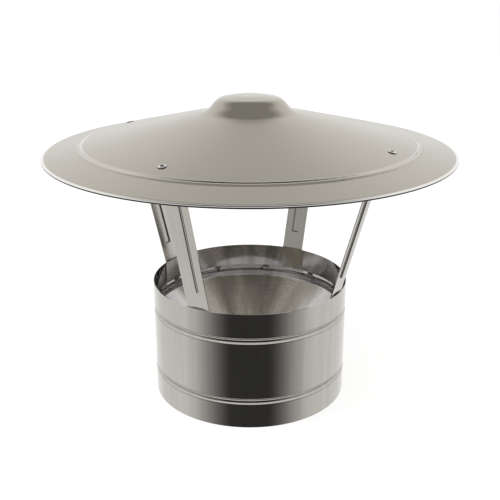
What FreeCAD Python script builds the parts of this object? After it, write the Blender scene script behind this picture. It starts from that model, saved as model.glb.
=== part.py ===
import FreeCAD, Part
import math
import os

V = FreeCAD.Vector

# Chimney cap for a twin-wall flue: a spun rain hood on four riveted struts over a sheet metal casing,
# with a funnel inside the casing that leads down to the liner's socket.
# Sizes are in millimetres and angles in degrees.
# The origin is the centre of the casing's lower edge, +Z is up, and the struts stand on the X and Y axes.

# Casing, with two grooves rolled inward
casing_radius = 100.0
casing_height = 120.0
casing_sheet = 0.6
lower_groove_height = 28.0
upper_groove_below_rim = 27.6
groove_width = 6.4
groove_floor_width = 2.0
groove_depth = 1.3
groove_shoulder_bend = 2.0
groove_floor_bend = 2.2

# Funnel, seated under the ridge that the upper groove raises inside the casing
funnel_sheet = 0.5
funnel_flange_height = 5.4
funnel_slope = 41.0
funnel_flange_bend = 1.8
funnel_collar_bend = 1.5
funnel_collar_length = 7.0
funnel_seat_gap = 0.05

# Spigot, the socket for the flue liner
spigot_bore_radius = 57.7
spigot_sheet = 0.5
spigot_length = 22.0
spigot_seat_gap = 0.05

# Struts, flat strips with a pressed rib and a flange folded out under the hood
strut_width = 24.0
strut_sheet = 1.0
strut_tab_bottom_gap = 0.3
strut_fold_above_rim = 1.0
strut_lower_bend = 3.0
strut_upper_bend = 1.5
strut_corner_bend = 3.0
strut_weld_gap = 0.03
flange_inside_rivet = 7.85
flange_outside_rivet = 10.0
flange_edge_gap = 0.03
rib_width = 9.0
rib_height = 1.6
rib_flank_run = 1.0
rib_crown_bend = 1.3
rib_hollow_bend = 0.3
rib_foot_bend = 0.5
rib_end_margin = 18.0

# Hood, one spun sheet with a boss, a step down to the brim and an edge folded back under
hood_radius = 201.5
hood_sheet = 0.7
hood_step_above_rim = 143.5
brim_width = 35.5
hood_step_run = 3.0
hood_step_drop = 1.3
hood_step_bend = 8.0
cone_slope = 13.3
brim_slope = 11.8
edge_slope = 20.0
edge_width = 3.5
edge_bend = 10.0
hem_gap = 0.5
hem_width = 3.5
boss_crown_radius = 14.0
boss_crown_bend = 80.0
boss_top_run = 17.2
boss_top_rise = 2.9
boss_shoulder_bend = 15.0
boss_side_run = 10.9
boss_side_rise = 12.5
boss_foot_bend = 20.0

# Blind rivets, one through the hood and each strut's flange
rivet_inside_step = 18.5
rivet_shank_radius = 2.0
rivet_hole_clearance = 0.05
rivet_head_radius = 4.0
rivet_head_edge = 0.35
rivet_head_height = 1.2
rivet_dome_bulge = 0.22
rivet_bulb_radius = 3.0
rivet_bulb_length = 1.8
rivet_tail_length = 3.1
rivet_grip_gap = 0.02
mandrel_radius = 1.1
mandrel_recess = 0.5
mandrel_ball_radius = 1.8
drill_overrun = 3.0

# Sizes that follow from the ones above
casing_bore_radius = casing_radius - casing_sheet
upper_groove_height = casing_height - upper_groove_below_rim
hood_step_radius = hood_radius - brim_width
hood_step_height = casing_height + hood_step_above_rim
hem_bend = hood_sheet + hem_gap / 2
rivet_circle_radius = hood_step_radius - rivet_inside_step
cone_fall = math.tan(math.radians(cone_slope))
brim_fall = math.tan(math.radians(brim_slope))
UP = V(0, 0, 1)


def crossing(first, second):
    """Positive where the second direction in the XZ plane lies to the left of the first."""
    return first.x * second.z - first.z * second.x


def left_of(direction):
    return V(-direction.z, 0, direction.x)


def meeting(point_a, way_a, point_b, way_b):
    """Where two lines in the XZ plane meet."""
    return point_a + way_a * (crossing(point_b - point_a, way_b) / crossing(way_a, way_b))


def ways_along(corners):
    return [(end - start).normalize() for start, end in zip(corners, corners[1:])]


def shifted_path(corners, bends, shift):
    """The path's corners and bend radii after a move of 'shift' to the left of its direction."""
    ways = ways_along(corners)
    moved = [corners[0] + left_of(ways[0]) * shift]
    moved_bends = []
    for corner, bend, way_in, way_out in zip(corners[1:], bends, ways, ways[1:]):
        start = corner + left_of(way_in) * shift
        end = corner + left_of(way_out) * shift
        moved.append(meeting(start, way_in, end, way_out))
        moved_bends.append(bend - math.copysign(1, crossing(way_in, way_out)) * shift)
    moved.append(corners[-1] + left_of(ways[-1]) * shift)
    return moved, moved_bends


def path_edges(corners, bends):
    """Straight runs joined by tangent arcs, one bend radius for each inner corner."""
    ways = ways_along(corners)
    edges = []
    last = corners[0]
    for corner, bend, way_in, way_out in zip(corners[1:], bends, ways, ways[1:]):
        half_turn = way_in.getAngle(way_out) / 2
        start = corner - way_in * bend * math.tan(half_turn)
        end = corner + way_out * bend * math.tan(half_turn)
        inward = (way_out - way_in).normalize()
        middle = corner + inward * bend * (1 / math.cos(half_turn) - 1)
        if (start - last).Length > 1e-6:
            edges.append(Part.LineSegment(last, start).toShape())
        edges.append(Part.Arc(start, middle, end).toShape())
        last = end
    edges.append(Part.LineSegment(last, corners[-1]).toShape())
    return edges


def sheet_section(corners, bends, shift):
    """The section of a bent sheet: the path, and the same path moved sideways by the sheet's thickness."""
    far_corners, far_bends = shifted_path(corners, bends, shift)
    far_corners.reverse()
    far_bends.reverse()
    edges = path_edges(corners, bends)
    edges.append(Part.LineSegment(corners[-1], far_corners[0]).toShape())
    edges.extend(path_edges(far_corners, far_bends))
    edges.append(Part.LineSegment(far_corners[-1], corners[0]).toShape())
    return Part.Face(Part.Wire(edges))


def spun(section):
    return section.revolve(V(0, 0, 0), UP, 360)


def cone_height(radius):
    """Height of the hood's upper face between the boss and the step."""
    return hood_step_height + (hood_step_radius - radius) * cone_fall


def brim_height(radius):
    """Height of the hood's upper face outside the step."""
    return hood_step_height - hood_step_drop + (hood_step_radius - radius) * brim_fall


def make_casing():
    """The outer face runs up from the lower edge, with the sheet on its inner side."""
    corners = [V(casing_radius, 0, 0)]
    bends = []
    for height in (lower_groove_height, upper_groove_height):
        floor_radius = casing_radius - groove_depth
        corners.append(V(casing_radius, 0, height - groove_width / 2))
        corners.append(V(floor_radius, 0, height - groove_floor_width / 2))
        corners.append(V(floor_radius, 0, height + groove_floor_width / 2))
        corners.append(V(casing_radius, 0, height + groove_width / 2))
        bends.extend([groove_shoulder_bend, groove_floor_bend, groove_floor_bend, groove_shoulder_bend])
    corners.append(V(casing_radius, 0, casing_height))
    return spun(sheet_section(corners, bends, casing_sheet))


def groove_reach():
    """Half the height of casing that one groove takes up, with its shoulder bends."""
    flank = math.atan2(groove_depth, (groove_width - groove_floor_width) / 2)
    return groove_width / 2 + groove_shoulder_bend * math.tan(flank / 2)


def funnel_corners():
    """The funnel's outer face, from its flange down the slope to the end of its collar."""
    flange_radius = casing_bore_radius - funnel_seat_gap
    collar_radius = spigot_bore_radius + spigot_sheet + spigot_seat_gap + funnel_sheet
    flange_top = upper_groove_height - groove_reach()
    slope_top = flange_top - funnel_flange_height
    slope_bottom = slope_top - (flange_radius - collar_radius) * math.tan(math.radians(funnel_slope))
    return [
        V(flange_radius, 0, flange_top),
        V(flange_radius, 0, slope_top),
        V(collar_radius, 0, slope_bottom),
        V(collar_radius, 0, slope_bottom - funnel_collar_length),
    ]


def make_funnel():
    bends = [funnel_flange_bend, funnel_collar_bend]
    return spun(sheet_section(funnel_corners(), bends, -funnel_sheet))


def make_spigot():
    """A plain tube inside the funnel's collar, level with the foot of the slope."""
    foot = V(0, 0, funnel_corners()[2].z - spigot_length)
    outside = Part.makeCylinder(spigot_bore_radius + spigot_sheet, spigot_length, foot)
    return outside.cut(Part.makeCylinder(spigot_bore_radius, spigot_length, foot))


def rivet_placement():
    """The rivet's seat on the hood, with its axis square to the cone."""
    seat = V(rivet_circle_radius, 0, cone_height(rivet_circle_radius))
    return FreeCAD.Placement(seat, FreeCAD.Rotation(V(0, 1, 0), cone_slope))


def flange_gap():
    """Gap between the cone and the flat flange's middle, so wide that its edges clear the cone's curve."""
    knee_radius = rivet_circle_radius - flange_inside_rivet
    cone_drop = math.hypot(knee_radius, strut_width / 2) - knee_radius
    return cone_drop * math.sin(math.radians(cone_slope)) + flange_edge_gap


def sheet_stack():
    """From the hood's upper face to the underside of the strut's flange, square to the cone."""
    return hood_sheet + flange_gap() + strut_sheet


def rivet_hole():
    """A drill through both sheets on the rivet's axis."""
    depth = sheet_stack() + drill_overrun
    radius = rivet_shank_radius + rivet_hole_clearance
    drill = Part.makeCylinder(radius, depth + drill_overrun, V(0, 0, -depth))
    drill.Placement = rivet_placement()
    return drill


def folded_edge():
    """The brim's last corners: it dips at the edge and folds back under itself round half a circle."""
    dip = V(hood_radius - edge_width, 0, brim_height(hood_radius - edge_width))
    slope = math.radians(edge_slope)
    outward = V(math.cos(slope), 0, -math.sin(slope))
    fold_start_radius = hood_radius - hem_bend * (1 - math.sin(slope))
    outer_corner = dip + outward * ((fold_start_radius - dip.x) / outward.x + hem_bend)
    inner_corner = outer_corner - left_of(outward) * 2 * hem_bend
    return [dip, outer_corner, inner_corner, inner_corner - outward * (hem_bend + hem_width)]


def make_hood():
    """The upper face runs out from the axis, with the sheet below it."""
    step_inside = hood_step_radius - hood_step_run / 2
    step_outside = hood_step_radius + hood_step_run / 2
    shoulder_radius = boss_crown_radius + boss_top_run
    foot_radius = shoulder_radius + boss_side_run
    shoulder_height = cone_height(foot_radius) + boss_side_rise
    crown_height = shoulder_height + boss_top_rise
    corners = [
        V(0, 0, crown_height),
        V(boss_crown_radius, 0, crown_height),
        V(shoulder_radius, 0, shoulder_height),
        V(foot_radius, 0, cone_height(foot_radius)),
        V(step_inside, 0, cone_height(step_inside)),
        V(step_outside, 0, brim_height(step_outside)),
    ]
    corners.extend(folded_edge())
    bends = [
        boss_crown_bend,
        boss_shoulder_bend,
        boss_foot_bend,
        hood_step_bend,
        hood_step_bend,
        edge_bend,
        hem_bend,
        hem_bend,
    ]
    hood = spun(sheet_section(corners, bends, -hood_sheet))
    for quarter in range(4):
        drill = rivet_hole()
        drill.rotate(V(0, 0, 0), UP, 90 * quarter)
        hood = hood.cut(drill)
    return hood


def strut_corners():
    """The strut's outer face: up the casing's wall, out to the knee, then under the cone past the rivet."""
    tab_radius = math.sqrt(casing_bore_radius ** 2 - (strut_width / 2) ** 2) - strut_weld_gap
    tab_bottom = upper_groove_height + groove_reach() + strut_tab_bottom_gap
    fold = V(tab_radius, 0, casing_height + strut_fold_above_rim)
    knee_radius = rivet_circle_radius - flange_inside_rivet
    toe_radius = rivet_circle_radius + flange_outside_rivet
    drop = sheet_stack() / math.cos(math.radians(cone_slope))
    knee = V(knee_radius, 0, cone_height(knee_radius) - drop)
    toe = V(toe_radius, 0, cone_height(toe_radius) - drop)
    return [V(tab_radius, 0, tab_bottom), fold, knee, toe]


def rib_block(base, inset, bend, run_length):
    """A block with sloping sides on a rectangle at 'base', with its crown's and corners' edges rounded."""
    frames = []
    for shrink, rise in ((inset, base), (inset + rib_flank_run, base + rib_height)):
        side = rib_width / 2 - shrink
        low = rib_end_margin + shrink
        high = run_length - low
        corners = [V(rise, -side, low), V(rise, side, low), V(rise, side, high), V(rise, -side, high)]
        frames.append(Part.makePolygon(corners + corners[:1]))
    block = Part.makeLoft(frames, True, True)
    edges = []
    for edge in block.Edges:
        if any(math.isclose(end.X, base + rib_height, abs_tol=1e-6) for end in edge.Vertexes):
            edges.append(edge)
    return block.makeFillet(bend, edges)


def rib_feet(strut, leaning, run_length):
    """The edges round the rib's foot, which lie in the strut's outer face and away from its own edges."""
    to_rib = leaning.inverse()
    feet = []
    for edge in strut.Edges:
        ends = [to_rib.multVec(end.Point) for end in edge.Vertexes]
        on_face = all(math.isclose(end.x, 0, abs_tol=1e-4) for end in ends)
        beside = all(abs(end.y) < (rib_width + strut_width) / 4 for end in ends)
        along = all(rib_end_margin / 2 < end.z < run_length - rib_end_margin / 2 for end in ends)
        if on_face and beside and along:
            feet.append(edge)
    return feet


def make_strut():
    """The strut on +X, with the rib pressed outward and hollow behind."""
    tab_foot, fold, knee, toe = strut_corners()
    section = sheet_section([tab_foot, fold, knee, toe], [strut_lower_bend, strut_upper_bend], strut_sheet)
    section.translate(V(0, -strut_width / 2, 0))
    strip = section.extrude(V(0, strut_width, 0))
    leaning = FreeCAD.Placement(fold, FreeCAD.Rotation(UP, knee - fold))
    run_length = (knee - fold).Length
    flank = math.atan2(rib_height, rib_flank_run)
    wall_inset = strut_sheet / math.sin(flank) - strut_sheet / math.tan(flank)
    ridge = rib_block(0, 0, rib_crown_bend, run_length)
    hollow = rib_block(-strut_sheet, wall_inset, rib_hollow_bend, run_length)
    ridge.Placement = leaning
    hollow.Placement = leaning
    strut = strip.fuse(ridge).removeSplitter()
    strut = strut.makeFillet(rib_foot_bend, rib_feet(strut, leaning, run_length))
    strut = strut.cut(hollow)
    strut = rounded_ends(strut, tab_foot, toe)
    return strut.cut(rivet_hole())


def rounded_ends(strut, tab_foot, toe):
    """Rounds the corners of the tab's foot and of the flange's toe."""
    near = strut_sheet / 2
    corners = []
    for edge in strut.Edges:
        middle = edge.CenterOfMass
        through_sheet = math.isclose(edge.Length, strut_sheet, rel_tol=0.01)
        on_side = math.isclose(abs(middle.y), strut_width / 2, abs_tol=near)
        at_foot = math.isclose(middle.z, tab_foot.z, abs_tol=near)
        at_toe = math.isclose(middle.x, toe.x, abs_tol=near)
        if through_sheet and on_side and (at_foot or at_toe):
            corners.append(edge)
    return strut.makeFillet(strut_corner_bend, corners)


def make_rivet():
    """The rivet's body: domed head, shank through both sheets and the bulb set below them."""
    grip = sheet_stack() + rivet_grip_gap
    tail = -grip - rivet_tail_length
    head_edge = V(rivet_head_radius, 0, rivet_head_edge)
    head_top = V(mandrel_radius, 0, rivet_head_height)
    chord_way = (head_top - head_edge).normalize()
    dome_middle = (head_edge + head_top) / 2 - left_of(chord_way) * rivet_dome_bulge
    outline = [
        V(mandrel_radius, 0, tail),
        V(rivet_shank_radius, 0, tail),
        V(rivet_bulb_radius, 0, -grip - rivet_bulb_length),
        V(rivet_bulb_radius, 0, -grip - rivet_head_edge),
        V(rivet_shank_radius, 0, -grip),
        V(rivet_shank_radius, 0, 0),
        V(rivet_head_radius, 0, 0),
        head_edge,
    ]
    edges = [Part.LineSegment(start, end).toShape() for start, end in zip(outline, outline[1:])]
    edges.append(Part.Arc(head_edge, dome_middle, head_top).toShape())
    edges.append(Part.LineSegment(head_top, outline[0]).toShape())
    rivet = spun(Part.Face(Part.Wire(edges)))
    rivet.Placement = rivet_placement()
    return rivet


def make_mandrel():
    """What stays of the mandrel: its broken stem in the rivet and the half ball that draws the bulb up."""
    tail = V(0, 0, -sheet_stack() - rivet_grip_gap - rivet_tail_length)
    stem = Part.makeCylinder(mandrel_radius, rivet_head_height - mandrel_recess - tail.z, tail)
    ball = Part.makeSphere(mandrel_ball_radius, tail, UP, -90, 0)
    mandrel = stem.fuse(ball).removeSplitter()
    mandrel.Placement = rivet_placement()
    return mandrel


def main():
    os.makedirs("parts", exist_ok=True)
    nodes = {
        "casing": make_casing(),
        "funnel": make_funnel(),
        "spigot": make_spigot(),
        "hood": make_hood(),
    }
    repeated = {"strut": make_strut(), "rivet": make_rivet(), "mandrel": make_mandrel()}
    for name, shape in repeated.items():
        for quarter, side in enumerate(("right", "back", "left", "front")):
            copy = shape.copy()
            copy.rotate(V(0, 0, 0), UP, 90 * quarter)
            nodes[name + "_" + side] = copy
    for name, shape in nodes.items():
        shape.exportStep("parts/" + name + ".step")


main()
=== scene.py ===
import math

import bpy
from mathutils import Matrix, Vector

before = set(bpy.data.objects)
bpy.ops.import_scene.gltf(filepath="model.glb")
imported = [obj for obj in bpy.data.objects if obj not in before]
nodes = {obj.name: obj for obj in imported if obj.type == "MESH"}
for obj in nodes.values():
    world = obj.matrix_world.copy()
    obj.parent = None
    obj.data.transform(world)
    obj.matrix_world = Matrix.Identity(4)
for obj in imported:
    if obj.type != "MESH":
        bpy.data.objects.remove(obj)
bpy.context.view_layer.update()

# Camera: the photograph's viewing angle, in degrees from the front strut and up, and its place in metres
VIEW_AZIMUTH = 29.8
VIEW_PITCH = 19.49
CAMERA_PLACE = (0.3946, -0.6884, 0.4307)
CAMERA_LENS = 58.71
CAMERA_SHIFT = (-0.0003, -0.0022)

# Steel: the tint is the share of light it gives back, from red to blue
STEEL_TINT = (0.50, 0.48, 0.44, 1)
HOOD_TINT = (0.45, 0.42, 0.36, 1)
FUNNEL_TINT = (0.67, 0.66, 0.65, 1)
# Lighter tint for the rivet heads and mandrels, and at the hood's bends a painted highlight
BRIGHT_TINT = (0.82, 0.80, 0.76, 1)
# Dark tint for the weld marks, and for the painted shade along the casing's grooves
WELD_AND_GROOVE_SHADE_TINT = (0.05, 0.05, 0.045, 1)

# Studio: its greys, and in degrees how far the dark side reaches round from the front, how low and high it
# reaches and how soft it ends there, and over which heights the walls turn into the ceiling
PLAIN_LIGHT = (0.55, 0.55, 0.55, 1)
WHITE = (1, 1, 1, 1)
DARK_SIDE_GREY = (0.05, 0.05, 0.05, 1)
DARK_SIDE_TURN = (20, 90)
DARK_SIDE_HEIGHT = (-50, 10)
DARK_SIDE_SOFT = 15
CEILING_HEIGHT = (30, 60)
CEILING_GREY = (0.4, 0.4, 0.4, 1)

# Floor: its radius in metres, its corners, its grey and how much it glows toward the camera
FLOOR_RADIUS = 14.0
FLOOR_CORNERS = 96
FLOOR_GREY = (0.62, 0.62, 0.62, 1)
FLOOR_GLOW = 0.66

# Lamps: name, place and width in metres, and watts, and the height of the point that they face
LAMPS = (
    ("key_lamp", (-0.9, -0.9, 2.0), 1.6, 14.0),
    ("fill_lamp", (1.3, -0.5, 1.7), 1.8, 9.0),
)
LAMP_TARGET_HEIGHT = 0.15

# Polished places on the hood, in metres from its axis: the boss, and where the sheet bends at the step and at
# the edge, each from and to, with the height of the fine crease there. At the two bends the tint is also
# lighter, a painted highlight
BOSS_SHINE_RADIUS = 0.040
STEP_CREASE = (0.1626, 0.1662, 0.0038)
EDGE_CREASE = (0.1991, 0.2013, 0.0030)
# Painted shade: below this height the hood's folded edge is painted nearly black
FOLD_HEIGHT = 0.2541
RIVET_CIRCLE_RADIUS = 0.1475

# Casing: the middles of its grooves and half the height of one, with painted shade along each groove's floor
# and edges, and the spot welds round the ridge inside
GROOVE_HEIGHTS = (0.0280, 0.0924)
GROOVE_REACH = 0.0036
WELD_COUNT = 12
WELD_FIRST_ANGLE = 21.8
WELD_HEIGHT = 0.0921
WELD_RADIUS = 0.0023


class Shader:
    """A node tree with short ways to add and link nodes."""

    def __init__(self, tree):
        self.tree = tree
        self.tree.nodes.clear()

    def add(self, kind, inputs=None, **settings):
        node = self.tree.nodes.new(kind)
        for name, value in settings.items():
            setattr(node, name, value)
        for name, value in (inputs or {}).items():
            self.feed(node.inputs[name], value)
        return node

    def feed(self, socket, value):
        if isinstance(value, bpy.types.NodeSocket):
            self.tree.links.new(value, socket)
        else:
            socket.default_value = value

    def math(self, operation, *values, clamp=False):
        node = self.add("ShaderNodeMath", operation=operation, use_clamp=clamp)
        for socket, value in zip(node.inputs, values):
            self.feed(socket, value)
        return node.outputs[0]

    def span(self, value, low, high, to_low=0.0, to_high=1.0, smooth=True):
        """The value mapped from one range to another, held at the ends."""
        kind = "SMOOTHSTEP" if smooth else "LINEAR"
        inputs = {"Value": value, "From Min": low, "From Max": high, "To Min": to_low, "To Max": to_high}
        return self.add("ShaderNodeMapRange", inputs, interpolation_type=kind).outputs["Result"]

    def noise(self, vector, scale, detail=2.0, roughness=0.5):
        inputs = {"Vector": vector, "Scale": scale, "Detail": detail, "Roughness": roughness}
        return self.add("ShaderNodeTexNoise", inputs).outputs["Fac"]

    def mix(self, factor, first, second):
        node = self.add("ShaderNodeMix", data_type="RGBA", clamp_factor=True)
        self.feed(node.inputs["Factor"], factor)
        self.feed(node.inputs[6], first)
        self.feed(node.inputs[7], second)
        return node.outputs[2]

    def vector(self, x=0.0, y=0.0, z=0.0):
        return self.add("ShaderNodeCombineXYZ", {"X": x, "Y": y, "Z": z}).outputs[0]


def studio_world():
    """A white studio: plain light, and white walls, a dark side and a grey ceiling for metal to mirror."""
    world = bpy.data.worlds.new("studio")
    world.use_nodes = True
    bpy.context.scene.world = world
    world.cycles.sampling_method = "NONE"
    s = Shader(world.node_tree)
    way = s.add("ShaderNodeTexCoord").outputs["Generated"]
    split = s.add("ShaderNodeSeparateXYZ", {"Vector": way})
    turn = math.radians(VIEW_AZIMUTH)
    across = s.math("ADD", s.math("MULTIPLY", split.outputs["X"], math.cos(turn)),
                    s.math("MULTIPLY", split.outputs["Y"], math.sin(turn)))
    toward = s.math("SUBTRACT", s.math("MULTIPLY", split.outputs["X"], math.sin(turn)),
                    s.math("MULTIPLY", split.outputs["Y"], math.cos(turn)))
    aside = s.math("DEGREES", s.math("ABSOLUTE", s.math("ARCTAN2", across, toward)))
    height = s.math("DEGREES", s.math("ARCSINE", split.outputs["Z"]))

    dark_side = s.math("MULTIPLY", s.span(aside, *DARK_SIDE_TURN, 1.0, 0.0),
                       between(s, height, *DARK_SIDE_HEIGHT, DARK_SIDE_SOFT))
    room = s.mix(dark_side, WHITE, DARK_SIDE_GREY)
    room = s.mix(s.span(height, *CEILING_HEIGHT), room, CEILING_GREY)

    path = s.add("ShaderNodeLightPath")
    mirrored = s.math("MAXIMUM", path.outputs["Is Glossy Ray"], path.outputs["Is Transmission Ray"])
    light = s.mix(mirrored, PLAIN_LIGHT, room)
    light = s.mix(path.outputs["Is Camera Ray"], light, WHITE)
    background = s.add("ShaderNodeBackground", {"Color": light, "Strength": 1.0})
    s.add("ShaderNodeOutputWorld", {"Surface": background.outputs[0]})


def add_floor():
    """A pale floor that keeps the object's shadow and stays out of the metal's reflections."""
    bpy.ops.mesh.primitive_circle_add(vertices=FLOOR_CORNERS, radius=FLOOR_RADIUS, fill_type="NGON")
    floor = bpy.context.object
    floor.name = "floor"
    material = bpy.data.materials.new("floor_white")
    material.use_nodes = True
    s = Shader(material.node_tree)
    lit = s.add("ShaderNodeBsdfDiffuse", {"Color": FLOOR_GREY})
    glow = s.add("ShaderNodeEmission", {"Color": WHITE, "Strength": FLOOR_GLOW})
    path = s.add("ShaderNodeLightPath")
    whiter = s.add("ShaderNodeMixShader", {0: path.outputs["Is Camera Ray"]})
    both = s.add("ShaderNodeAddShader", {0: lit.outputs[0], 1: glow.outputs[0]})
    s.feed(whiter.inputs[1], lit.outputs[0])
    s.feed(whiter.inputs[2], both.outputs[0])
    s.add("ShaderNodeOutputMaterial", {"Surface": whiter.outputs[0]})
    floor.data.materials.append(material)
    floor.visible_glossy = False


def add_lamps():
    """Two wide, soft lamps for the shadow under the object."""
    target = Vector((0, 0, LAMP_TARGET_HEIGHT))
    for name, place, size, watts in LAMPS:
        data = bpy.data.lights.new(name, "AREA")
        data.shape = "DISK"
        data.size = size
        data.energy = watts
        lamp = bpy.data.objects.new(name, data)
        lamp.location = place
        lamp.rotation_euler = (target - Vector(place)).to_track_quat("-Z", "Y").to_euler()
        lamp.visible_glossy = False
        bpy.context.scene.collection.objects.link(lamp)


def add_camera():
    data = bpy.data.cameras.new("camera")
    data.lens = CAMERA_LENS
    data.shift_x, data.shift_y = CAMERA_SHIFT
    data.clip_start = 0.01
    camera = bpy.data.objects.new("camera", data)
    camera.location = CAMERA_PLACE
    camera.rotation_euler = (math.radians(90 - VIEW_PITCH), 0, math.radians(VIEW_AZIMUTH))
    bpy.context.scene.collection.objects.link(camera)
    bpy.context.scene.camera = camera


def new_material(name):
    material = bpy.data.materials.new(name)
    material.use_nodes = True
    return material, Shader(material.node_tree)


def finish_steel(s, tint, roughness, bump, shine=None):
    """The steel's surface: its tint, roughness and bump, and any further settings of the shader."""
    inputs = {"Base Color": tint, "Metallic": 1.0, "Roughness": roughness, "Normal": bump}
    inputs.update(shine or {})
    surface = s.add("ShaderNodeBsdfPrincipled", inputs)
    s.add("ShaderNodeOutputMaterial", {"Surface": surface.outputs[0]})


def bump_of(s, height, distance):
    return s.add("ShaderNodeBump", {"Strength": 1.0, "Distance": distance, "Height": height}).outputs[0]


def darker(tint, share):
    return tuple(channel * share for channel in tint[:3]) + (1,)


def length_of(s, one, other):
    """The length of a way that goes so far along one axis and so far along another."""
    return s.math("SQRT", s.math("ADD", s.math("MULTIPLY", one, one), s.math("MULTIPLY", other, other)))


def place_parts(s):
    """The place on the part: the vector, its X, Y and Z, and the distance from the axis."""
    place = s.add("ShaderNodeTexCoord").outputs["Object"]
    x, y, z = s.add("ShaderNodeSeparateXYZ", {"Vector": place}).outputs
    return place, x, y, z, length_of(s, x, y)


def between(s, value, low, high, soft):
    """One inside a range and zero outside, with soft ends."""
    return s.math("MULTIPLY", s.span(value, low - soft, low), s.span(value, high, high + soft, 1.0, 0.0))


def hood_material():
    """Spun sheet: satin with faint rings from the lathe, polished on the boss and at the sharp bends. The
    bends also get a lighter tint, a painted highlight, and the edge under the fold is painted nearly black, a
    painted shade.
    """
    material, s = new_material("hood_spun_steel")
    place, _, _, z, radius = place_parts(s)
    rings = s.noise(s.vector(s.math("MULTIPLY", radius, 900.0)), 1.0, 3.0, 0.6)
    patches = s.noise(place, 9.0, 3.0, 0.5)
    satin = s.math("ADD", s.span(rings, 0.3, 0.7, 0.21, 0.25), s.span(patches, 0.3, 0.7, -0.02, 0.02))
    polished = s.span(rings, 0.3, 0.7, 0.03, 0.06)
    facing = s.add("ShaderNodeTexCoord").outputs["Normal"]
    outside = s.math("GREATER_THAN", s.add("ShaderNodeSeparateXYZ", {"Vector": facing}).outputs["Z"], 0.0)
    boss = s.span(radius, BOSS_SHINE_RADIUS, BOSS_SHINE_RADIUS + 0.01, 1.0, 0.0)
    on_boss = s.math("MULTIPLY", outside, boss)
    on_step = between(s, radius, STEP_CREASE[0], STEP_CREASE[1], 0.0006)
    on_edge = s.span(radius, EDGE_CREASE[0] - 0.0006, EDGE_CREASE[0])
    shiny = s.math("MAXIMUM", on_boss, s.math("MAXIMUM", on_step, on_edge))
    roughness = s.math("ADD", s.math("MULTIPLY", shiny, polished),
                       s.math("MULTIPLY", s.math("SUBTRACT", 1.0, shiny), satin))
    tint = s.mix(s.span(patches, 0.35, 0.65), darker(HOOD_TINT, 0.96), HOOD_TINT)
    # Painted highlight: a lighter tint at the step bend and at the edge bend
    tint = s.mix(s.math("MAXIMUM", s.math("MULTIPLY", on_step, 0.35), on_edge), tint, BRIGHT_TINT)
    # Painted shade: the edge below the fold is painted nearly black
    below_fold = s.span(z, FOLD_HEIGHT - 0.0001, FOLD_HEIGHT + 0.0001, 1.0, 0.0)
    painted_shade_under_fold = s.math("MULTIPLY", on_edge, below_fold)
    tint = s.mix(painted_shade_under_fold, tint, darker(HOOD_TINT, 0.08))
    creases = s.math("ADD", s.span(radius, STEP_CREASE[0], STEP_CREASE[1], 0.0, -STEP_CREASE[2]),
                     s.span(radius, EDGE_CREASE[0], EDGE_CREASE[1], 0.0, -EDGE_CREASE[2]))
    creases = s.math("MULTIPLY", outside, creases)
    height = s.math("ADD", s.math("MULTIPLY", rings, 1.5e-6), creases)
    tangent = s.add("ShaderNodeTangent", direction_type="RADIAL", axis="Z").outputs[0]
    brushed = s.math("MULTIPLY", s.math("SUBTRACT", 1.0, shiny), 0.7)
    shine = {"Anisotropic": brushed, "Anisotropic Rotation": 0.25, "Tangent": tangent}
    finish_steel(s, tint, roughness, bump_of(s, height, 1.0), shine)
    return material


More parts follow.
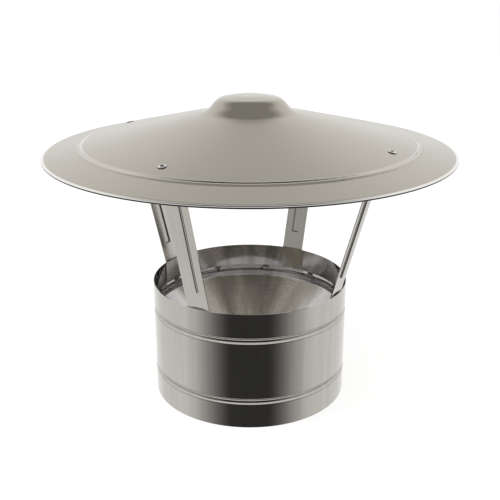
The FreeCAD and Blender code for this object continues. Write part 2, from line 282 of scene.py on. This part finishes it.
def casing_material():
    """Bright rolled sheet, with spot welds round the ridge on its inner side, painted shade along the
    grooves, and a darker, more neutral tint on its inner side, the darkening a painted shade inside the tube.
    """
    material, s = new_material("casing_rolled_steel")
    _, x, y, z, radius = place_parts(s)
    grain = s.noise(s.vector(x, y, s.math("MULTIPLY", z, 0.04)), 110.0, 3.0, 0.6)
    waves = s.noise(s.vector(x, y, s.math("MULTIPLY", z, 0.35)), 16.0, 2.0, 0.4)
    normal = s.add("ShaderNodeTexCoord").outputs["Normal"]
    nx, ny, _ = s.add("ShaderNodeSeparateXYZ", {"Vector": normal}).outputs
    facing_out = s.math("ADD", s.math("MULTIPLY", nx, x), s.math("MULTIPLY", ny, y))
    inner = s.math("LESS_THAN", facing_out, 0.0)
    turn = s.math("DEGREES", s.math("ARCTAN2", y, x))
    spacing = 360 / WELD_COUNT
    folded = s.math("WRAP", s.math("SUBTRACT", turn, WELD_FIRST_ANGLE), spacing / 2, -spacing / 2)
    across = s.math("MULTIPLY", s.math("RADIANS", folded), radius)
    above = s.math("MULTIPLY", s.math("SUBTRACT", z, WELD_HEIGHT), 1.5)
    from_weld = length_of(s, across, above)
    weld = s.math("MULTIPLY", inner, s.span(from_weld, WELD_RADIUS * 0.6, WELD_RADIUS, 1.0, 0.0))
    # Painted shade: the inner side takes a darker tint than the outside, and a more neutral one
    plain = s.mix(inner, STEEL_TINT, darker(FUNNEL_TINT, 0.66))
    streaks = s.math("MULTIPLY", s.span(grain, 0.35, 0.65, 0.09, 0.0), s.math("SUBTRACT", 1.0, inner))
    streaked = s.mix(streaks, plain, darker(STEEL_TINT, 0.1))
    # Painted shade: dark tint along the floor and the edges of each groove, on the outside
    offsets = [s.math("ABSOLUTE", s.math("SUBTRACT", z, middle)) for middle in GROOVE_HEIGHTS]
    from_groove = s.math("MINIMUM", *offsets)
    groove_floor_shade = s.span(from_groove, 0.0003, 0.0008, 0.65, 0.0)
    at_shoulder = between(s, from_groove, GROOVE_REACH - 0.0002, GROOVE_REACH + 0.0002, 0.0004)
    shoulder_shade = s.math("MULTIPLY", at_shoulder, 0.4)
    groove_shade = s.math("MULTIPLY", s.math("MAXIMUM", groove_floor_shade, shoulder_shade), s.math("SUBTRACT", 1.0, inner))
    # The weld marks and the painted groove shade both take the dark tint
    tint = s.mix(s.math("MAXIMUM", weld, groove_shade), streaked, WELD_AND_GROOVE_SHADE_TINT)
    roughness = s.math("ADD", s.span(grain, 0.3, 0.7, 0.045, 0.07), s.math("MULTIPLY", weld, 0.2))
    height = s.math("ADD", s.math("MULTIPLY", grain, 2e-6), s.math("MULTIPLY", waves, 3e-4))
    height = s.math("MULTIPLY", height, s.math("SUBTRACT", 1.0, s.math("MULTIPLY", inner, 0.9)))
    finish_steel(s, tint, roughness, bump_of(s, height, 1.0))
    return material


def strip_material(name, tint, roughness, spread, squeeze, grain_scale, grain_height):
    """Plain sheet or strip with a fine grain, which 'squeeze' draws out along X, Y and Z."""
    material, s = new_material(name)
    place, x, y, z, _ = place_parts(s)
    along = s.vector(*(s.math("MULTIPLY", axis, share) for axis, share in zip((x, y, z), squeeze)))
    grain = s.noise(along, grain_scale, 4.0, 0.6)
    patches = s.noise(place, 14.0, 2.0, 0.5)
    rough = s.math("ADD", s.span(grain, 0.25, 0.75, roughness - spread, roughness + spread),
                   s.span(patches, 0.3, 0.7, -spread / 2, spread / 2))
    shade = s.mix(s.span(patches, 0.35, 0.65), darker(tint, 0.95), tint)
    finish_steel(s, shade, rough, bump_of(s, grain, grain_height))
    return material


def rivet_material():
    """Bright pressed head, with painted shade: a dark ring round its edge and a dark ring round the mandrel.
    """
    material, s = new_material("rivet_steel")
    place, x, y, _, _ = place_parts(s)
    wide = s.math("ABSOLUTE", x)
    deep = s.math("ABSOLUTE", y)
    out = s.math("SUBTRACT", s.math("MAXIMUM", wide, deep), RIVET_CIRCLE_RADIUS)
    aside = s.math("MINIMUM", wide, deep)
    from_axis = length_of(s, out, aside)
    # Painted shade: a dark ring round the mandrel and a dark ring round the head's edge
    dimple_shade = s.span(from_axis, 0.0017, 0.0021, 1.0, 0.0)
    seam_shade = s.span(from_axis, 0.0034, 0.0038)
    grain = s.noise(place, 300.0, 4.0, 0.6)
    tint = s.mix(s.math("MAXIMUM", dimple_shade, seam_shade), BRIGHT_TINT, darker(STEEL_TINT, 0.10))
    finish_steel(s, tint, s.span(grain, 0.25, 0.75, 0.09, 0.16), bump_of(s, grain, 8e-6))
    return material


def funnel_material():
    """Sheet turned round the axis, with soft streaks of lighter and darker tint down the slope, partly random
    tone and partly painted highlight, and highlights from the shader that run down it.
    """
    material, s = new_material("funnel_steel")
    _, x, y, _, radius = place_parts(s)
    turn = s.math("ARCTAN2", y, x)
    down = s.vector(s.math("MULTIPLY", s.math("COSINE", turn), 0.25),
                    s.math("MULTIPLY", s.math("SINE", turn), 0.25), radius)
    streaks = s.noise(down, 14.0, 2.0, 0.5)
    rings = s.noise(s.vector(s.math("MULTIPLY", radius, 700.0)), 1.0, 3.0, 0.6)
    rough = s.math("ADD", s.span(streaks, 0.25, 0.75, 0.20, 0.28), s.span(rings, 0.3, 0.7, -0.02, 0.02))
    # Streaks of lighter and darker tint down the slope: partly random tone, partly painted highlight
    shade = s.mix(s.span(streaks, 0.35, 0.65), darker(FUNNEL_TINT, 0.82), darker(FUNNEL_TINT, 1.2))
    tangent = s.add("ShaderNodeTangent", direction_type="RADIAL", axis="Z").outputs[0]
    shine = {"Anisotropic": 0.8, "Anisotropic Rotation": 0.25, "Tangent": tangent}
    finish_steel(s, shade, rough, bump_of(s, rings, 5e-7), shine)
    return material


def dress(names, material):
    for name in names:
        nodes[name].data.materials.clear()
        nodes[name].data.materials.append(material)


def main():
    studio_world()
    add_floor()
    add_lamps()
    add_camera()
    quarters = ("right", "back", "left", "front")
    strut_steel = strip_material("strut_steel", STEEL_TINT, 0.11, 0.03, (1.0, 1.0, 0.05), 90.0, 8e-6)
    mandrel_steel = strip_material("mandrel_steel", BRIGHT_TINT, 0.25, 0.06, (1.0, 1.0, 1.0), 500.0, 3e-5)
    dress(["hood"], hood_material())
    dress(["casing"], casing_material())
    dress(["funnel", "spigot"], funnel_material())
    dress(["strut_" + side for side in quarters], strut_steel)
    dress(["rivet_" + side for side in quarters], rivet_material())
    dress(["mandrel_" + side for side in quarters], mandrel_steel)

    scene = bpy.context.scene
    scene.view_settings.view_transform = "Standard"


main()
